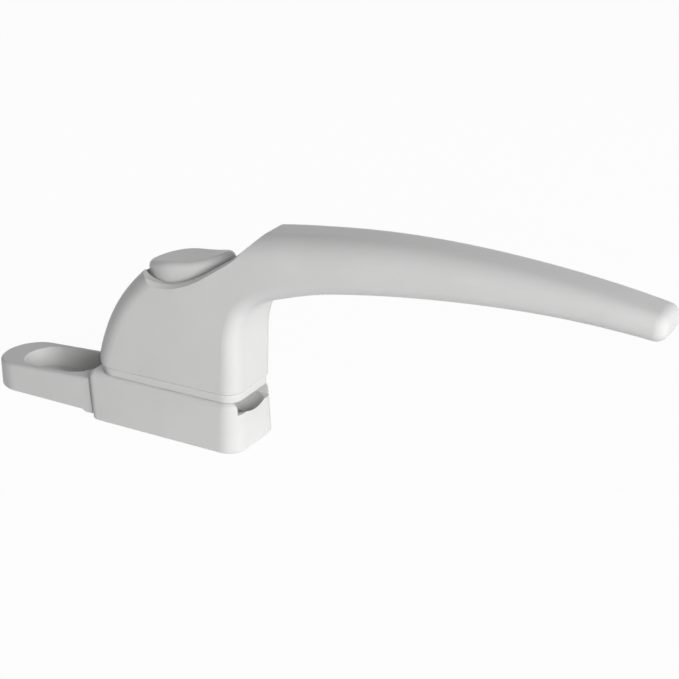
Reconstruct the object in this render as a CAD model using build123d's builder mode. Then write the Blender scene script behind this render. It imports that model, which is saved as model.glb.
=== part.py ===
from build123d import *
import math
import os

# Push-button window handle. Millimetres, +Z up from the mounting face,
# +X along the grip, origin where the turning axis meets the mounting face.

os.makedirs("parts", exist_ok=True)

# general
soft_edge = 0.4
small_edge = 0.3
running_gap = 0.05
face_gap = 0.05
loose_gap = 0.1

# base block, wider at the foot than at the top
block_left = -23.0
block_right = 20.2
block_half = 9.7
block_top = 12.8
block_draft_deg = 2.6
block_nose_radius = 4.8
block_heel_radius = 2.2
block_top_radius = 1.9
block_foot_radius = 0.6
block_spare = 7.0
seam_lean = 1.1
roof_under = 8.2
cavity_half = 7.7
cavity_left = -21.0
cavity_middle = 8.0
cavity_right = 16.8
cavity_radius = 1.5
low_cavity_top = 5.0

# screw pocket in the right end of the block, open to the top and the end
pocket_x = 13.6
pocket_half = 6.9
pocket_floor = 9.8
pocket_edge = 1.0
mouth_inset = 0.45
screw_hole = 4.4
screw_seat_r = 7.3
screw_seat_floor = 6.2
screw_boss = 9.0

# closing plate under the block
plate_thick = 1.2
plate_left = cavity_left + loose_gap
plate_right = cavity_right - loose_gap
plate_half = cavity_half - loose_gap
plate_hole_r = 5.4
plate_screw_x = -17.6
plate_screw_y = 4.3
plate_screw_d = 2.5
plate_screw_head = 4.6
plate_screw_length = 8.4
screw_end_gap = 0.6
screw_post = 5.0
cross_long = 2.4
cross_wide = 0.6
cross_deep = 1.0

# fixing lug with its screw pocket
lug_left = -56.6
lug_right = block_left
lug_half = 8.3
lug_under = 1.2
lug_top_root = 10.3
lug_top_end = 8.1
lug_edge = 0.9
lug_foot = 0.8
lug_foot_length = 3.2
lug_pocket_left = -49.0
lug_pocket_right = -26.3
lug_pocket_half = 6.4
lug_floor = 3.8
lug_screw_x = -37.6
lug_head = 7.0
seam_gap = 0.3
tenon_length = 8.6
tenon_half = 6.9
tenon_low = plate_thick
tenon_high = 5.4

# turning drive: journal in the block roof, square cam below it
journal_r = 4.3
bush_r = 5.0
bush_edge = 0.2
cam_half = 6.0
cam_reach = 7.1
cam_low = plate_thick + face_gap
washer_thick = 0.5
cam_high = roof_under - washer_thick - 2 * loose_gap
washer_r = 6.6
spindle_square = 7.1
socket_depth = 6.0
neck_flat = 6.6

# index leaf springs either side of the square cam
leaf_thick = 0.5
leaf_low = 2.6
leaf_high = 6.8
leaf_straight = 5.4
leaf_left = 9.4
leaf_right = 6.6

# plate that turns with the grip, above the block
collar_low = block_top + loose_gap
collar_thick = 2.1
collar_high = collar_low + collar_thick
collar_inset = 0.35

# hub and grip, one casting
hub_low = collar_high
hub_left = -21.1
hub_right = 19.6
hub_half_left = 9.4
hub_half_right = 9.0
hub_corner_left = 5.0
hub_corner_right = 3.9
hub_inner_left = -15.0
hub_inner_right = 15.0
hub_inner_half = 6.2
hub_inner_radius = 2.5
hub_roof = 29.0
hub_foot_edge = 0.6
boss_r = 6.6
carrier_room = 5.0
boss_top = hub_roof - carrier_room
neck_short = 2.4
neck_top = boss_top - neck_short
grub_z = 18.6
grub_d = 4.0
grub_length = 4.4
hex_r = 1.15
hex_deep = 1.6

# button, its well and the lock pin it pushes
button_x = 0.6
button_blunt = 9.0
button_point = 14.2
button_half = 6.4
button_left_z = 42.2
button_edge = 1.6
button_wall = 1.4
button_travel = 2.5
well_gap = 0.45
well_heel = 0.9
well_web = 3.6
well_floor = hub_roof + well_web
well_clear = 0.7
button_low = well_floor + button_travel + well_clear
stem_r = 2.0
stem_end = 0.9
stem_high = button_left_z - button_wall
stem_socket_r = 2.75
socket_inset = 0.6
spring_wire = 0.6
spring_coil_r = 3.6
spring_turns = 4.5
seat_web = 1.6
spring_seat = hub_roof + seat_web
carrier_high = hub_roof - 0.2
carrier_thick = 1.4
carrier_r = 3.4
clip_thick = 0.6
clip_r = 3.2
clip_groove = 0.5
stem_low = carrier_high - carrier_thick - clip_thick - stem_end
pin_r = 1.0
pin_orbit = 6.9
pin_way_gap = 0.3
pin_low = block_top - 0.6
groove_floor = pin_low - button_travel - 0.5
groove_half = pin_r + loose_gap
turn_deg = 90.0


def round_on_axis(x, y, radius, low, high, mode=Mode.ADD):
    # upright cylinder between two heights
    with BuildSketch(Plane.XY.offset(low)) as disc:
        with Locations((x, y)):
            Circle(radius)
    extrude(disc.sketch, amount=high - low, mode=mode)


def rounded_box(left, right, half, radius, low, high, mode=Mode.ADD):
    # upright block with rounded upright edges between two heights
    with BuildSketch(Plane.XY.offset(low)) as outline:
        with Locations(((left + right) / 2, 0)):
            RectangleRounded(right - left, 2 * half, radius)
    extrude(outline.sketch, amount=high - low, mode=mode)


def countersunk_hole(x, y, hole, head, face, depth, down=True):
    # clearance hole with a conical head seat, cut from a face
    side = -1 if down else 1
    with BuildSketch(Plane.XZ.offset(-y)) as profile:
        with BuildLine():
            Polyline(
                (x, face - side * 0.01),
                (x + head / 2, face - side * 0.01),
                (x + hole / 2, face + side * (head - hole) / 2),
                (x + hole / 2, face + side * depth),
                (x, face + side * depth),
                close=True,
            )
        make_face()
    revolve(profile.sketch, axis=Axis((x, y, 0), (0, 0, 1)), mode=Mode.SUBTRACT)


def seam_x(z):
    # the joint face between block and lug leans out towards the top
    return block_left - seam_lean * z / block_top


def egg(z, gap, heel=0.0):
    # plan of the button, blunt at the left and drawn out towards the grip
    half = button_half + gap
    with BuildSketch(Plane.XY.offset(z)) as plan:
        with BuildLine():
            EllipticalCenterArc(
                (button_x, 0), button_blunt + gap + heel, half, 90, arc_size=180
            )
            EllipticalCenterArc((button_x, 0), button_point + gap, half, 270, arc_size=180)
        make_face()
    return plan.sketch


def grip_section(inner, outer, half_inner, half_outer, r_inner, r_outer, crown):
    # one cross-section of the casting, from a point on its inner curve
    # to a point on its outer curve, both in the X-Z plane
    dx = outer[0] - inner[0]
    dz = outer[1] - inner[1]
    length = math.hypot(dx, dz)
    middle = Vector((inner[0] + outer[0]) / 2, 0, (inner[1] + outer[1]) / 2)
    along = Vector(dx / length, 0, dz / length)
    normal = Vector(0, 1, 0).cross(along)
    h = length / 2
    bulge = crown / 2
    half_middle = (half_inner + half_outer) / 2 + bulge
    with BuildSketch(Plane(origin=middle, x_dir=(0, 1, 0), z_dir=normal)) as section:
        with BuildLine():
            ThreePointArc((-half_inner, -h), (0, -h - bulge / 2), (half_inner, -h))
            ThreePointArc((half_inner, -h), (half_middle, 0), (half_outer, h))
            ThreePointArc((half_outer, h), (0, h + crown), (-half_outer, h))
            ThreePointArc((-half_outer, h), (-half_middle, 0), (-half_inner, -h))
        make_face()
        fillet(section.vertices().group_by(Axis.Y)[0], r_inner)
        fillet(section.vertices().group_by(Axis.Y)[-1], r_outer)
    return section.sketch


# stations along the casting: inner point, outer point, half widths at the
# inner and outer side, corner radii at the inner and outer side, crown
stations = [
    (
        (hub_right, hub_low),
        (hub_left, hub_low),
        hub_half_right,
        hub_half_left,
        hub_corner_right,
        hub_corner_left,
        0.1,
    ),
    ((hub_right, 20.0), (-20.9, 19.6), 9.0, 9.4, 3.7, 5.6, 0.2),
    ((hub_right, 25.0), (-19.2, 25.0), 9.0, 9.3, 3.4, 6.2, 0.2),
    ((19.8, 29.4), (-16.5, 30.5), 9.0, 9.2, 3.3, 6.6, 0.3),
    ((20.7, 33.2), (-12.0, 36.6), 8.9, 9.1, 3.4, 6.6, 0.3),
    ((22.3, 36.3), (-5.2, 42.8), 8.8, 9.0, 3.5, 6.4, 0.4),
    ((24.8, 38.6), (4.0, 48.4), 8.7, 8.9, 3.6, 6.2, 0.4),
    ((28.0, 40.3), (15.0, 52.8), 8.6, 8.7, 3.7, 6.0, 0.4),
    ((32.2, 41.7), (27.0, 55.4), 8.4, 8.5, 3.8, 6.0, 0.4),
    ((39.0, 43.7), (38.0, 56.9), 8.1, 8.2, 3.8, 6.0, 0.4),
    ((51.0, 46.0), (51.0, 58.1), 7.7, 7.8, 3.7, 5.8, 0.5),
    ((65.0, 47.8), (65.0, 58.7), 7.2, 7.3, 3.5, 5.4, 0.5),
    ((80.0, 49.1), (80.0, 58.4), 6.8, 6.8, 3.2, 4.8, 0.5),
    ((95.0, 49.6), (95.2, 57.3), 6.3, 6.3, 3.0, 4.1, 0.5),
    ((108.6, 49.1), (109.2, 55.6), 5.8, 5.8, 3.0, 3.3, 0.5),
    ((119.6, 48.1), (119.9, 53.9), 5.4, 5.4, 2.9, 3.1, 0.4),
]
tip_radius = 2.7

# hollow in the top of the casting where the button sits, from the dome
# at the left up to the crisp ridge that starts the grip
scoop = [
    (-24.0, 44.6),
    (-12.0, 42.0),
    (-6.0, 40.7),
    (0.0, 40.0),
    (5.0, 41.1),
    (10.0, 43.4),
    (15.0, 46.6),
    (20.0, 50.0),
    (24.4, 54.0),
    (28.0, 57.9),
]
scoop_clear = 75.0

rim_width = 0.9
rim_slope = 0.9

# top of the button in side view: full at the left, then following the scoop
roof_left = (-12.5, 40.6)
roof_crest = (-5.0, 43.5)
roof_turn = (3.0, 45.1)
roof_right = (16.5, 49.7)


def above_scoop(y):
    # side view of all that the scoop takes away, at a distance from the middle
    with BuildSketch(Plane.XZ.offset(-y)) as view:
        with BuildLine():
            Spline(*scoop)
            Polyline(scoop[-1], (scoop[-1][0], scoop_clear), (scoop[0][0], scoop_clear), scoop[0])
        make_face()
    return view.sketch


with BuildPart() as base_block:
    with BuildSketch():
        with Locations(((block_left - block_spare + block_right) / 2, 0)):
            RectangleRounded(
                block_right - block_left + block_spare, 2 * block_half, block_nose_radius
            )
    extrude(amount=block_top, taper=block_draft_deg)
    with BuildSketch(Plane.XZ):
        with BuildLine():
            Polyline(
                (seam_x(-1), -1),
                (seam_x(block_top + 1), block_top + 1),
                (block_left - 2 * block_spare, block_top + 1),
                (block_left - 2 * block_spare, -1),
                close=True,
            )
        make_face()
    extrude(amount=2 * block_half, both=True, mode=Mode.SUBTRACT)
    heel = base_block.faces().sort_by(Axis.X)[0]
    fillet(heel.edges().group_by(Axis.Y)[0] + heel.edges().group_by(Axis.Y)[-1], block_heel_radius)
    fillet(base_block.faces().sort_by(Axis.Z)[-1].edges(), block_top_radius)
    fillet(base_block.faces().sort_by(Axis.Z)[0].edges(), block_foot_radius)

    # underside: deep hollow for the drive, lower hollow under the screw pocket
    rounded_box(cavity_left, cavity_middle, cavity_half, cavity_radius, 0, roof_under, Mode.SUBTRACT)
    rounded_box(
        cavity_middle - 2 * cavity_radius,
        cavity_right,
        cavity_half,
        cavity_radius,
        0,
        low_cavity_top,
        Mode.SUBTRACT,
    )
    round_on_axis(pocket_x, 0, screw_boss / 2, 0, low_cavity_top + 1)

    # screw pocket, a U in plan under the turning plate, flared at its mouth
    mouth_x = block_right - mouth_inset
    with BuildSketch(Plane.XY.offset(pocket_floor)) as pocket:
        with Locations((pocket_x, 0)):
            Circle(pocket_half)
            Rectangle(mouth_x - pocket_x, 2 * pocket_half, align=(Align.MIN, Align.CENTER))
        with Locations((mouth_x, 0)):
            Rectangle(mouth_x, 2 * block_half, align=(Align.MIN, Align.CENTER))
        throat = pocket.vertices().filter_by(
            lambda v: abs(v.X - mouth_x) < small_edge and abs(v.Y) < block_half - small_edge
        )
        fillet(throat, pocket_edge)
    extrude(amount=block_top, mode=Mode.SUBTRACT)

    # wide conical seat for the screw, which breaks out through the end
    with BuildSketch(Plane.XZ):
        with BuildLine():
            Polyline(
                (pocket_x, pocket_floor),
                (pocket_x + screw_seat_r, pocket_floor),
                (pocket_x + screw_hole / 2, screw_seat_floor),
                (pocket_x + screw_hole / 2, -1),
                (pocket_x, -1),
                close=True,
            )
        make_face()
    revolve(axis=Axis((pocket_x, 0, 0), (0, 0, 1)), mode=Mode.SUBTRACT)

    # bore for the bush, and the arc groove the lock pin runs in
    round_on_axis(0, 0, bush_r, roof_under - 1, block_top + 1, Mode.SUBTRACT)
    with BuildSketch(Plane.XY.offset(groove_floor)):
        SlotArc(
            CenterArc((0, 0), pin_orbit, 180, turn_deg),
            2 * groove_half,
        )
    extrude(amount=block_top, mode=Mode.SUBTRACT)

    # opening for the tenon of the lug, and posts for the plate screws
    with BuildSketch(Plane.XY):
        with Locations((block_left - 2, 0)):
            Rectangle(5, 2 * tenon_half + 2 * loose_gap, align=(Align.MIN, Align.CENTER))
    extrude(amount=tenon_high + loose_gap, mode=Mode.SUBTRACT)
    for side in (-1, 1):
        round_on_axis(
            plate_screw_x, side * plate_screw_y, screw_post / 2, tenon_high + face_gap, roof_under + 1
        )
        round_on_axis(
            plate_screw_x,
            side * plate_screw_y,
            plate_screw_d / 2,
            tenon_high - 1,
            plate_screw_length + screw_end_gap,
            Mode.SUBTRACT,
        )

base_block.part.label = "base_block"
export_step(base_block.part, "parts/base_block.step")


with BuildPart() as fixing_lug:
    lug_side = [
        (lug_left - 2, lug_under),
        (lug_right - lug_foot_length, lug_under),
        (lug_right - lug_foot_length + 0.8, lug_foot),
        (seam_x(lug_foot) - seam_gap, lug_foot),
        (seam_x(lug_top_root) - seam_gap, lug_top_root),
        (lug_left - 2, lug_top_end),
    ]
    with BuildSketch(Plane.XZ):
        with BuildLine():
            Polyline(*lug_side, close=True)
        make_face()
    extrude(amount=lug_half + 1, both=True)
    with BuildSketch(Plane.XY):
        with BuildLine():
            arc_x = lug_left + lug_half
            Line((lug_right, -lug_half), (arc_x, -lug_half))
            ThreePointArc((arc_x, -lug_half), (lug_left, 0), (arc_x, lug_half))
            Line((arc_x, lug_half), (lug_right, lug_half))
            Line((lug_right, lug_half), (lug_right, -lug_half))
        make_face()
    extrude(amount=2 * lug_top_root, mode=Mode.INTERSECT)
    lug_roof = fixing_lug.faces().sort_by(Axis.Z)[-1]
    fillet(lug_roof.edges().filter_by(lambda e: e.center().X < seam_x(block_top) - seam_gap), lug_edge)
    lug_sole = fixing_lug.faces().filter_by(Axis.Z).filter_by(lambda f: f.center().X < lug_screw_x)[0]
    fillet(lug_sole.edges().filter_by(GeomType.CIRCLE), soft_edge)

    # deep pocket for the fixing screw
    lug_pocket_x = (lug_pocket_left + lug_pocket_right) / 2
    with BuildSketch(Plane.XY.offset(lug_floor)):
        with Locations((lug_pocket_x, 0)):
            SlotOverall(lug_pocket_right - lug_pocket_left, 2 * lug_pocket_half)
    extrude(amount=lug_top_root, mode=Mode.SUBTRACT)
    pocket_rim = fixing_lug.edges().filter_by(
        lambda e: e.center().Z > lug_floor + 2
        and lug_pocket_left - 1 < e.center().X < lug_pocket_right + 1
        and abs(e.center().Y) < lug_pocket_half + 0.1
        and not e.is_closed
        and abs(e.tangent_at(0.5).Z) < 0.9
    )
    fillet(pocket_rim, soft_edge)
    countersunk_hole(lug_screw_x, 0, screw_hole, lug_head, lug_floor, lug_floor)

    # tenon that the closing plate clamps inside the block
    with BuildSketch(Plane.XY.offset(tenon_low)):
        with Locations((lug_right - 2, 0)):
            Rectangle(tenon_length + 2, 2 * tenon_half, align=(Align.MIN, Align.CENTER))
    extrude(amount=tenon_high - tenon_low)
    for side in (-1, 1):
        round_on_axis(
            plate_screw_x,
            side * plate_screw_y,
            plate_screw_d / 2 + loose_gap,
            0,
            tenon_high + 1,
            Mode.SUBTRACT,
        )

fixing_lug.part.label = "fixing_lug"
export_step(fixing_lug.part, "parts/fixing_lug.step")


with BuildPart() as base_plate:
    rounded_box(plate_left, plate_right, plate_half, cavity_radius, 0, plate_thick)
    round_on_axis(0, 0, plate_hole_r, -1, plate_thick + 1, Mode.SUBTRACT)
    round_on_axis(
        pocket_x, 0, screw_boss / 2 + loose_gap, -1, plate_thick + 1, Mode.SUBTRACT
    )
    for side in (-1, 1):
        countersunk_hole(
            plate_screw_x,
            side * plate_screw_y,
            plate_screw_d + 2 * loose_gap,
            plate_screw_head,
            0,
            plate_thick + 1,
            down=False,
        )

base_plate.part.label = "base_plate"
export_step(base_plate.part, "parts/base_plate.step")


def plate_screw(side):
    # countersunk screw driven up through the plate and the tenon
    y = side * plate_screw_y
    cone = (plate_screw_head - plate_screw_d) / 2
    with BuildSketch(Plane.XZ.offset(-y)) as profile:
        with BuildLine():
            Polyline(
                (plate_screw_x, loose_gap),
                (plate_screw_x + plate_screw_head / 2 - 3 * loose_gap, loose_gap),
                (plate_screw_x + plate_screw_d / 2 - running_gap, loose_gap + cone),
                (plate_screw_x + plate_screw_d / 2 - running_gap, plate_screw_length - soft_edge),
                (plate_screw_x + plate_screw_d / 2 - soft_edge, plate_screw_length),
                (plate_screw_x, plate_screw_length),
                close=True,
            )
        make_face()
    revolve(profile.sketch, axis=Axis((plate_screw_x, y, 0), (0, 0, 1)))
    # cross recess
    with BuildSketch(Plane.XY) as recess:
        with Locations((plate_screw_x, y)):
            Rectangle(cross_long, cross_wide)
            Rectangle(cross_wide, cross_long)
    extrude(recess.sketch, amount=cross_deep, mode=Mode.SUBTRACT)


with BuildPart() as plate_screw_front:
    plate_screw(-1)

plate_screw_front.part.label = "plate_screw_front"
export_step(plate_screw_front.part, "parts/plate_screw_front.step")


with BuildPart() as plate_screw_rear:
    plate_screw(1)

plate_screw_rear.part.label = "plate_screw_rear"
export_step(plate_screw_rear.part, "parts/plate_screw_rear.step")


with BuildPart() as bearing_bush:
    round_on_axis(0, 0, bush_r - running_gap, roof_under, block_top)
    round_on_axis(0, 0, journal_r + running_gap, roof_under - 1, block_top + 1, Mode.SUBTRACT)
    chamfer(bearing_bush.edges().group_by(Axis.Z)[-1], bush_edge)

bearing_bush.part.label = "bearing_bush"
export_step(bearing_bush.part, "parts/bearing_bush.step")


with BuildPart() as thrust_washer:
    round_on_axis(0, 0, washer_r, cam_high + face_gap, cam_high + face_gap + washer_thick)
    round_on_axis(0, 0, journal_r + loose_gap, cam_high - 1, block_top, Mode.SUBTRACT)

thrust_washer.part.label = "thrust_washer"
export_step(thrust_washer.part, "parts/thrust_washer.step")


with BuildPart() as drive_sleeve:
    with BuildSketch(Plane.XY.offset(cam_low)):
        Rectangle(2 * cam_half, 2 * cam_half)
        Circle(cam_reach, mode=Mode.INTERSECT)
    extrude(amount=cam_high - cam_low)
    round_on_axis(0, 0, journal_r, cam_high, collar_high)
    with BuildSketch(Plane.XY.offset(collar_high)):
        Circle(journal_r)
        Rectangle(2 * journal_r, neck_flat, mode=Mode.INTERSECT)
    extrude(amount=neck_top - collar_high)
    chamfer(drive_sleeve.edges().group_by(Axis.Z)[-1], soft_edge)
    with BuildSketch(Plane.XY.offset(cam_low)):
        Rectangle(spindle_square, spindle_square)
    extrude(amount=socket_depth, mode=Mode.SUBTRACT)

drive_sleeve.part.label = "drive_sleeve"
export_step(drive_sleeve.part, "parts/drive_sleeve.step")


def index_leaf(side):
    # flat steel spring lying on one flat of the square cam, ends bent out
    inner = cam_half + face_gap
    outer = cavity_half - leaf_thick - face_gap
    with BuildSketch(Plane.XY.offset(leaf_low)) as strip:
        with BuildLine():
            Polyline(
                (-leaf_left, side * outer),
                (-leaf_straight, side * inner),
                (leaf_straight, side * inner),
                (leaf_right, side * outer),
                (leaf_right, side * (outer + leaf_thick)),
                (leaf_straight, side * (inner + leaf_thick)),
                (-leaf_straight, side * (inner + leaf_thick)),
                (-leaf_left, side * (outer + leaf_thick)),
                close=True,
            )
        make_face()
    extrude(strip.sketch, amount=leaf_high - leaf_low)


with BuildPart() as index_leaf_front:
    index_leaf(-1)

index_leaf_front.part.label = "index_leaf_front"
export_step(index_leaf_front.part, "parts/index_leaf_front.step")


with BuildPart() as index_leaf_rear:
    index_leaf(1)

index_leaf_rear.part.label = "index_leaf_rear"
export_step(index_leaf_rear.part, "parts/index_leaf_rear.step")


with BuildPart() as lever_handle:
    loft([grip_section(*station) for station in stations])
    tip = lever_handle.faces().sort_by(Axis.X)[-1]
    fillet(tip.edges(), tip_radius)
    fillet(lever_handle.faces().sort_by(Axis.Z)[0].edges(), hub_foot_edge)

    # scooped deck around the button, ending in the ridge of the grip
    extrude(above_scoop(0), amount=2 * block_half, both=True, mode=Mode.SUBTRACT)

    # narrow bevel along both sides of the scoop
    for side in (-1, 1):
        bevel = above_scoop(side * (hub_half_right - rim_width))
        extrude(bevel, amount=block_half, dir=(0, side, -rim_slope), mode=Mode.SUBTRACT)

    # oval well for the button, guide bore for its stem
    well = egg(well_floor, well_gap, well_heel)
    extrude(well, amount=scoop_clear - well_floor, mode=Mode.SUBTRACT)
    round_on_axis(0, 0, stem_r + running_gap, hub_roof - 1, well_floor + 1, Mode.SUBTRACT)
    round_on_axis(0, 0, spring_coil_r + spring_wire, spring_seat, well_floor + 1, Mode.SUBTRACT)

    # hollow hub with the boss that takes the drive sleeve
    rounded_box(
        hub_inner_left,
        hub_inner_right,
        hub_inner_half,
        hub_inner_radius,
        hub_low - 1,
        hub_roof,
        Mode.SUBTRACT,
    )
    round_on_axis(0, 0, boss_r, hub_low, boss_top)
    with BuildSketch(Plane.XY.offset(hub_low - 1)):
        Circle(journal_r + running_gap)
        Rectangle(2 * journal_r + 1, neck_flat + 2 * running_gap, mode=Mode.INTERSECT)
    extrude(amount=boss_top - hub_low + 2, mode=Mode.SUBTRACT)

    # way for the lock pin past the boss, and the grub screw hole at the rear
    round_on_axis(-pin_orbit, 0, pin_r + pin_way_gap, hub_low - 1, boss_top + 1, Mode.SUBTRACT)
    with BuildSketch(Plane.XZ.offset(-2 * block_half)):
        with Locations((0, grub_z)):
            Circle(grub_d / 2)
    extrude(amount=2 * block_half - 2, mode=Mode.SUBTRACT)

lever_handle.part.label = "lever_handle"
export_step(lever_handle.part, "parts/lever_handle.step")


with BuildPart() as hub_grub_screw:
    with BuildSketch(Plane.XZ.offset(-(neck_flat / 2 + running_gap))):
        with Locations((0, grub_z)):
            Circle(grub_d / 2 - running_gap)
    extrude(amount=-grub_length)
    chamfer(hub_grub_screw.edges().group_by(Axis.Y)[0], small_edge)
    with BuildSketch(Plane.XZ.offset(-(neck_flat / 2 + running_gap + grub_length))):
        with Locations((0, grub_z)):
            RegularPolygon(hex_r, 6)
    extrude(amount=hex_deep, mode=Mode.SUBTRACT)

hub_grub_screw.part.label = "hub_grub_screw"
export_step(hub_grub_screw.part, "parts/hub_grub_screw.step")


with BuildPart() as collar_plate:
    with BuildSketch(Plane.XY.offset(collar_low)) as collar_outline:
        with BuildLine():
            Polyline(
                (hub_right - collar_inset, collar_inset - hub_half_right),
                (hub_right - collar_inset, hub_half_right - collar_inset),
                (hub_left + collar_inset, hub_half_left - collar_inset),
                (hub_left + collar_inset, collar_inset - hub_half_left),
                close=True,
            )
        make_face()
        fillet(collar_outline.vertices().group_by(Axis.X)[-1], hub_corner_right)
        fillet(collar_outline.vertices().group_by(Axis.X)[0], hub_corner_left)
    extrude(amount=collar_high - collar_low)
    fillet(collar_plate.edges().group_by(Axis.Z)[0], soft_edge)
    fillet(collar_plate.edges().group_by(Axis.Z)[-1], small_edge)
    round_on_axis(0, 0, journal_r + loose_gap, collar_low - 1, collar_high + 1, Mode.SUBTRACT)
    round_on_axis(-pin_orbit, 0, pin_r + running_gap, collar_low - 1, collar_high + 1, Mode.SUBTRACT)

collar_plate.part.label = "collar_plate"
export_step(collar_plate.part, "parts/collar_plate.step")


with BuildPart() as push_button:
    extrude(egg(button_low, 0.0), amount=scoop_clear - button_low)
    with BuildSketch(Plane.XZ):
        with BuildLine():
            full_arc = ThreePointArc(roof_left, roof_crest, roof_turn)
            TangentArc(roof_turn, roof_right, tangent=full_arc % 1)
            Polyline(
                roof_right,
                (roof_right[0], scoop_clear + 1),
                (roof_left[0], scoop_clear + 1),
                roof_left,
            )
        make_face()
    extrude(amount=2 * block_half, both=True, mode=Mode.SUBTRACT)
    button_rim = push_button.edges().filter_by(
        lambda e: e.center().Z > button_low + button_wall and e.geom_type != GeomType.LINE
    )
    fillet(button_rim, button_edge)

    # open underside with a central socket for the stem
    extrude(
        egg(button_low, -button_wall),
        amount=button_left_z - button_low - button_wall,
        mode=Mode.SUBTRACT,
    )
    round_on_axis(0, 0, stem_socket_r, button_low + socket_inset, button_left_z)
    round_on_axis(0, 0, stem_r, button_low - 1, stem_high, Mode.SUBTRACT)

push_button.part.label = "push_button"
export_step(push_button.part, "parts/push_button.step")


with BuildPart() as button_stem:
    round_on_axis(0, 0, stem_r, stem_low, stem_high)
    chamfer(button_stem.edges(), small_edge)
    with BuildSketch(Plane.XY.offset(carrier_high - carrier_thick - face_gap)):
        Circle(stem_r + 1)
        Circle(stem_r - clip_groove, mode=Mode.SUBTRACT)
    extrude(amount=-(clip_thick + face_gap), mode=Mode.SUBTRACT)

button_stem.part.label = "button_stem"
export_step(button_stem.part, "parts/button_stem.step")


with BuildPart() as lock_carrier:
    with BuildSketch(Plane.XY.offset(carrier_high - carrier_thick)):
        Circle(carrier_r)
        with Locations((-pin_orbit, 0)):
            Circle(2 * pin_r)
        Rectangle(pin_orbit, 4 * pin_r, align=(Align.MAX, Align.CENTER))
    extrude(amount=carrier_thick)
    fillet(lock_carrier.edges().group_by(Axis.Z)[-1], small_edge)
    round_on_axis(0, 0, stem_r + running_gap, hub_low, hub_roof, Mode.SUBTRACT)
    round_on_axis(-pin_orbit, 0, pin_r, hub_low, hub_roof, Mode.SUBTRACT)

lock_carrier.part.label = "lock_carrier"
export_step(lock_carrier.part, "parts/lock_carrier.step")


with BuildPart() as lock_pin:
    round_on_axis(-pin_orbit, 0, pin_r, pin_low, carrier_high)
    chamfer(lock_pin.edges().group_by(Axis.Z)[0], small_edge)

lock_pin.part.label = "lock_pin"
export_step(lock_pin.part, "parts/lock_pin.step")


with BuildPart() as stem_clip:
    with BuildSketch(Plane.XY.offset(carrier_high - carrier_thick - face_gap)):
        Circle(clip_r)
        Circle(stem_r - clip_groove + running_gap, mode=Mode.SUBTRACT)
        with Locations((0, -clip_r)):
            Rectangle(stem_r, 2 * clip_r, mode=Mode.SUBTRACT)
    extrude(amount=-clip_thick)

stem_clip.part.label = "stem_clip"
export_step(stem_clip.part, "parts/stem_clip.step")


with BuildPart() as button_spring:
    button_ceiling = button_left_z - button_wall
    coil_low = spring_seat + spring_wire / 2 + face_gap
    coil_high = button_ceiling - spring_wire / 2 - face_gap
    with BuildLine() as coil:
        Helix(
            pitch=(coil_high - coil_low) / spring_turns,
            height=coil_high - coil_low,
            radius=spring_coil_r,
            center=(0, 0, coil_low),
        )
    with BuildSketch(Plane(origin=coil.line @ 0, z_dir=coil.line % 0)):
        Circle(spring_wire / 2)
    sweep(path=coil.line)

button_spring.part.label = "button_spring"
export_step(button_spring.part, "parts/button_spring.step")
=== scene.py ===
import bpy
import math
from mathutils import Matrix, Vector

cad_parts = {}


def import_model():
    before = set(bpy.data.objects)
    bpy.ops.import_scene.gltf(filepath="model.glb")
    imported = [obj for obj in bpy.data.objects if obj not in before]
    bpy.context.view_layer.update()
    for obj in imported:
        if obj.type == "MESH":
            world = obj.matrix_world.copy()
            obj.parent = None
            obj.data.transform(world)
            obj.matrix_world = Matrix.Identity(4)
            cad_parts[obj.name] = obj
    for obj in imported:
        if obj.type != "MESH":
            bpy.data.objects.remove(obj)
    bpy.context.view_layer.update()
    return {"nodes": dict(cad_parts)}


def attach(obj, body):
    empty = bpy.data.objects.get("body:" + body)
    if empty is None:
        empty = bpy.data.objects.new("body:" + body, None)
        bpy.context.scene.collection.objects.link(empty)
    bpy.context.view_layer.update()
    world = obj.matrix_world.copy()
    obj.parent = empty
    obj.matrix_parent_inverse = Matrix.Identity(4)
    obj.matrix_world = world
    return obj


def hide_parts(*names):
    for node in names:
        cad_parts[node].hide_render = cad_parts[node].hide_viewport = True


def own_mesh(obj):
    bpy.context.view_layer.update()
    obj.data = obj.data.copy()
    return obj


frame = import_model()
MM = 0.001
WHITE = (1.0, 1.0, 1.0, 1.0)
NO_STRETCH = (1.0, 1.0, 1.0)

# floor and background
FLOOR_HALF = 3.0
FLOOR_DROP = 0.5 * MM
GROUND_GREY = (0.9, 0.9, 0.9, 1.0)
SEEN_WHITE = 0.96

# light in the room: direction it comes from and its strength
RIGHT_SIDE = ((1.0, 0.0, 0.0), 1.6)
BEHIND = ((-0.574, 0.819, 0.0), 0.95)
LAMP_TARGET = (0.0, 0.0, 0.03)
LAMP_SIZE = 0.45


def node(tree, kind, **values):
    # new shader node with its plain properties set
    made = tree.nodes.new(kind)
    for key, value in values.items():
        setattr(made, key, value)
    return made


def start_material(name):
    # empty node material with a principled shader wired to its output
    material = bpy.data.materials.new(name)
    material.use_nodes = True
    tree = material.node_tree
    tree.nodes.clear()
    output = node(tree, "ShaderNodeOutputMaterial")
    shader = node(tree, "ShaderNodeBsdfPrincipled")
    tree.links.new(shader.outputs["BSDF"], output.inputs["Surface"])
    place = node(tree, "ShaderNodeTexCoord")
    return material, tree, shader, place


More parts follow.
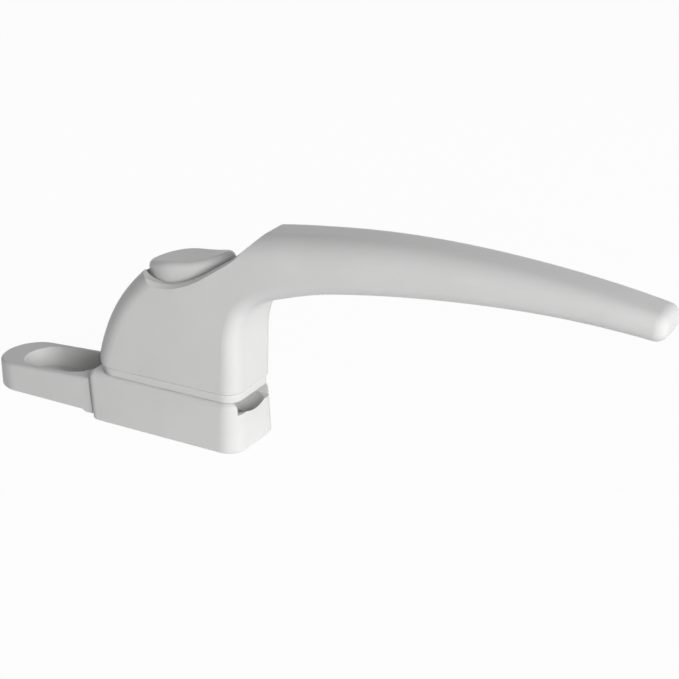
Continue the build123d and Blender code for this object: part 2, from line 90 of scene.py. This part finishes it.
def noise(tree, place, size_mm, detail=2.0, stretch=NO_STRETCH):
    # noise whose cells are about size_mm across, in the object's own space
    mapping = node(tree, "ShaderNodeMapping")
    mapping.inputs["Scale"].default_value = stretch
    tree.links.new(place.outputs["Object"], mapping.inputs["Vector"])
    texture = node(tree, "ShaderNodeTexNoise")
    texture.inputs["Scale"].default_value = 1.0 / (size_mm * MM)
    texture.inputs["Detail"].default_value = detail
    tree.links.new(mapping.outputs["Vector"], texture.inputs["Vector"])
    return texture.outputs["Fac"]


def spread(tree, source, low, high):
    # a noise turned into a range of values
    span = node(tree, "ShaderNodeMapRange")
    span.inputs["From Min"].default_value = 0.3
    span.inputs["From Max"].default_value = 0.7
    span.inputs["To Min"].default_value = low
    span.inputs["To Max"].default_value = high
    tree.links.new(source, span.inputs["Value"])
    return span.outputs["Result"]


def tint(tree, source, dark, light):
    # a noise turned into a blend of two colours
    ramp = node(tree, "ShaderNodeValToRGB")
    ramp.color_ramp.elements[0].position = 0.3
    ramp.color_ramp.elements[0].color = (*dark, 1.0)
    ramp.color_ramp.elements[1].position = 0.7
    ramp.color_ramp.elements[1].color = (*light, 1.0)
    tree.links.new(source, ramp.inputs["Fac"])
    return ramp.outputs["Color"]


def relief(tree, shader, height, depth_mm, strength):
    # fine surface relief from a height
    bump = node(tree, "ShaderNodeBump")
    bump.inputs["Strength"].default_value = strength
    bump.inputs["Distance"].default_value = depth_mm * MM
    tree.links.new(height, bump.inputs["Height"])
    tree.links.new(bump.outputs["Normal"], shader.inputs["Normal"])


def powder_coat():
    # white powder coat over a zinc casting: orange peel, soft gloss
    material, tree, shader, place = start_material("white_powder_coat")
    cloud = noise(tree, place, 14.0, 3.0)
    shader.inputs["Specular IOR Level"].default_value = 0.36
    tree.links.new(
        tint(tree, cloud, (0.725, 0.725, 0.72), (0.755, 0.755, 0.75)), shader.inputs["Base Color"]
    )
    peel = noise(tree, place, 0.9, 2.0)
    tree.links.new(spread(tree, peel, 0.33, 0.39), shader.inputs["Roughness"])
    relief(tree, shader, peel, 0.012, 0.5)
    return material


def moulded_plastic():
    # white moulded button, smoother and a little warmer than the coat
    material, tree, shader, place = start_material("white_button_plastic")
    cloud = noise(tree, place, 9.0, 2.0)
    tree.links.new(
        tint(tree, cloud, (0.715, 0.715, 0.708), (0.74, 0.74, 0.733)), shader.inputs["Base Color"]
    )
    grain = noise(tree, place, 0.25, 3.0)
    tree.links.new(spread(tree, grain, 0.3, 0.38), shader.inputs["Roughness"])
    relief(tree, shader, grain, 0.004, 0.5)
    return material


def metal(name, dark, light, rough, grain_mm, stretch=NO_STRETCH):
    # bare or plated steel with drawn or turned marks
    material, tree, shader, place = start_material(name)
    shader.inputs["Metallic"].default_value = 1.0
    marks = noise(tree, place, grain_mm, 4.0, stretch)
    tree.links.new(tint(tree, marks, dark, light), shader.inputs["Base Color"])
    tree.links.new(spread(tree, marks, *rough), shader.inputs["Roughness"])
    relief(tree, shader, marks, 0.006, 0.4)
    return material


def nylon_plastic():
    # natural nylon of the bearing bush
    material, tree, shader, place = start_material("natural_nylon")
    shader.inputs["Subsurface Weight"].default_value = 0.08
    shader.inputs["Subsurface Radius"].default_value = (0.001, 0.0009, 0.0007)
    marks = noise(tree, place, 0.6, 3.0, (1.0, 1.0, 4.0))
    tree.links.new(
        tint(tree, marks, (0.72, 0.71, 0.64), (0.78, 0.77, 0.71)), shader.inputs["Base Color"]
    )
    tree.links.new(spread(tree, marks, 0.45, 0.56), shader.inputs["Roughness"])
    relief(tree, shader, marks, 0.006, 0.4)
    return material


coat = powder_coat()
plastic = moulded_plastic()
nylon = nylon_plastic()
zinc = metal(
    "bright_zinc", (0.56, 0.57, 0.59), (0.68, 0.69, 0.7), rough=(0.28, 0.4), grain_mm=1.6
)
screw = metal(
    "screw_zinc",
    (0.52, 0.53, 0.54),
    (0.66, 0.67, 0.68),
    rough=(0.24, 0.36),
    grain_mm=0.5,
    stretch=(1.0, 1.0, 0.2),
)
spring = metal(
    "spring_steel",
    (0.38, 0.39, 0.41),
    (0.5, 0.51, 0.53),
    rough=(0.26, 0.38),
    grain_mm=0.4,
    stretch=(0.2, 1.0, 1.0),
)
oxide = metal(
    "black_oxide", (0.035, 0.035, 0.037), (0.06, 0.06, 0.064), rough=(0.32, 0.46), grain_mm=0.5
)

finish_of = {
    "base_block": coat,
    "fixing_lug": coat,
    "lever_handle": coat,
    "collar_plate": coat,
    "push_button": plastic,
    "base_plate": zinc,
    "plate_screw_front": screw,
    "plate_screw_rear": screw,
    "bearing_bush": nylon,
    "thrust_washer": spring,
    "drive_sleeve": zinc,
    "index_leaf_front": spring,
    "index_leaf_rear": spring,
    "hub_grub_screw": oxide,
    "button_stem": zinc,
    "lock_carrier": zinc,
    "lock_pin": screw,
    "stem_clip": spring,
    "button_spring": spring,
}
for name, finish in finish_of.items():
    mesh = frame["nodes"][name].data
    for index in range(len(mesh.materials)):
        mesh.materials[index] = finish


def return_spring():
    # coil under the button, a copy of the CAD spring carried with the lever
    made = bpy.data.objects.new("return_spring", frame["nodes"]["button_spring"].data.copy())
    bpy.context.scene.collection.objects.link(made)
    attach(made, "lever")
    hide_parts("button_spring")
    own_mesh(made)


def seen_ray(tree):
    # one for rays by which the background itself is seen, straight or in gloss
    path = node(tree, "ShaderNodeLightPath")
    gloss = node(tree, "ShaderNodeMath", operation="MAXIMUM")
    tree.links.new(path.outputs["Is Glossy Ray"], gloss.inputs[0])
    tree.links.new(path.outputs["Is Transmission Ray"], gloss.inputs[1])
    seen = node(tree, "ShaderNodeMath", operation="MAXIMUM")
    tree.links.new(path.outputs["Is Camera Ray"], seen.inputs[0])
    tree.links.new(gloss.outputs[0], seen.inputs[1])
    return seen.outputs[0]


def backdrop_material():
    # pale ground that reads as white and keeps a soft shadow
    material = bpy.data.materials.new("pale_ground")
    material.use_nodes = True
    tree = material.node_tree
    tree.nodes.clear()
    output = node(tree, "ShaderNodeOutputMaterial")
    matt = node(tree, "ShaderNodeBsdfDiffuse")
    matt.inputs["Color"].default_value = GROUND_GREY
    glow = node(tree, "ShaderNodeEmission")
    glow.inputs["Color"].default_value = WHITE
    share = node(tree, "ShaderNodeMath", operation="MULTIPLY")
    share.inputs[1].default_value = SEEN_WHITE
    tree.links.new(seen_ray(tree), share.inputs[0])
    blend = node(tree, "ShaderNodeMixShader")
    tree.links.new(share.outputs[0], blend.inputs["Fac"])
    tree.links.new(matt.outputs[0], blend.inputs[1])
    tree.links.new(glow.outputs[0], blend.inputs[2])
    tree.links.new(blend.outputs[0], output.inputs["Surface"])
    return material


def floor():
    # large ground plate just under the part
    turns = [(-1, -1), (1, -1), (1, 1), (-1, 1)]
    corners = [(x * FLOOR_HALF, y * FLOOR_HALF, -FLOOR_DROP) for x, y in turns]
    mesh = bpy.data.meshes.new("studio_floor")
    mesh.from_pydata(corners, [], [(0, 1, 2, 3)])
    made = bpy.data.objects.new("studio_floor", mesh)
    made.data.materials.append(backdrop_material())
    bpy.context.scene.collection.objects.link(made)


def side_light(tree, place, towards, strength):
    # light from one side of the room, fading to nothing across it
    facing = node(tree, "ShaderNodeVectorMath", operation="DOT_PRODUCT")
    facing.inputs[1].default_value = towards
    tree.links.new(place.outputs["Generated"], facing.inputs[0])
    one_side = node(tree, "ShaderNodeMath", operation="MAXIMUM")
    one_side.inputs[1].default_value = 0.0
    tree.links.new(facing.outputs["Value"], one_side.inputs[0])
    level = node(tree, "ShaderNodeMath", operation="MULTIPLY")
    level.inputs[1].default_value = strength
    tree.links.new(one_side.outputs[0], level.inputs[0])
    return level.outputs[0]


def world():
    # soft room light from the right and from behind, white where the camera sees it
    scene_world = bpy.data.worlds.new("studio")
    bpy.context.scene.world = scene_world
    scene_world.use_nodes = True
    tree = scene_world.node_tree
    tree.nodes.clear()
    output = node(tree, "ShaderNodeOutputWorld")
    room = node(tree, "ShaderNodeBackground")
    room.inputs["Color"].default_value = WHITE
    place = node(tree, "ShaderNodeTexCoord")
    split = node(tree, "ShaderNodeSeparateXYZ")
    tree.links.new(place.outputs["Generated"], split.inputs[0])
    # full strength at the horizon, none overhead
    fade = node(tree, "ShaderNodeMapRange")
    fade.inputs["From Min"].default_value = 0.0
    fade.inputs["From Max"].default_value = 1.0
    fade.inputs["To Min"].default_value = 1.0
    fade.inputs["To Max"].default_value = 0.0
    tree.links.new(split.outputs["Z"], fade.inputs["Value"])
    sides = node(tree, "ShaderNodeMath", operation="ADD")
    tree.links.new(side_light(tree, place, *RIGHT_SIDE), sides.inputs[0])
    tree.links.new(side_light(tree, place, *BEHIND), sides.inputs[1])
    strength = node(tree, "ShaderNodeMath", operation="MULTIPLY")
    tree.links.new(sides.outputs[0], strength.inputs[0])
    tree.links.new(fade.outputs["Result"], strength.inputs[1])
    tree.links.new(strength.outputs[0], room.inputs["Strength"])
    white = node(tree, "ShaderNodeBackground")
    white.inputs["Strength"].default_value = 1.0
    white.inputs["Color"].default_value = WHITE
    blend = node(tree, "ShaderNodeMixShader")
    tree.links.new(seen_ray(tree), blend.inputs["Fac"])
    tree.links.new(room.outputs[0], blend.inputs[1])
    tree.links.new(white.outputs[0], blend.inputs[2])
    tree.links.new(blend.outputs[0], output.inputs["Surface"])


def lamp(name, place, watts):
    # soft square lamp aimed at the part, not mirrored in its gloss
    data = bpy.data.lights.new(name, "AREA")
    data.shape = "SQUARE"
    data.size = LAMP_SIZE
    data.energy = watts
    made = bpy.data.objects.new(name, data)
    made.location = place
    made.visible_glossy = False
    aim = Vector(LAMP_TARGET) - Vector(place)
    made.rotation_euler = aim.to_track_quat("-Z", "Y").to_euler()
    bpy.context.scene.collection.objects.link(made)


def camera():
    # the photograph's view, from the front right and a little above
    data = bpy.data.cameras.new("photo_view")
    data.lens = 82.55
    data.sensor_width = 36.0
    data.clip_start = 0.01
    made = bpy.data.objects.new("photo_view", data)
    made.location = (0.2015, -0.2839, 0.1726)
    made.rotation_euler = (math.radians(66.59), 0.0, math.radians(29.2))
    bpy.context.scene.collection.objects.link(made)
    bpy.context.scene.camera = made


return_spring()
floor()
world()
lamp("front_lamp", (0.848, -0.942, 0.37), 4.5)
lamp("side_lamp", (1.06, -0.612, 0.495), 7.1)
camera()
bpy.context.scene.view_settings.view_transform = "Standard"
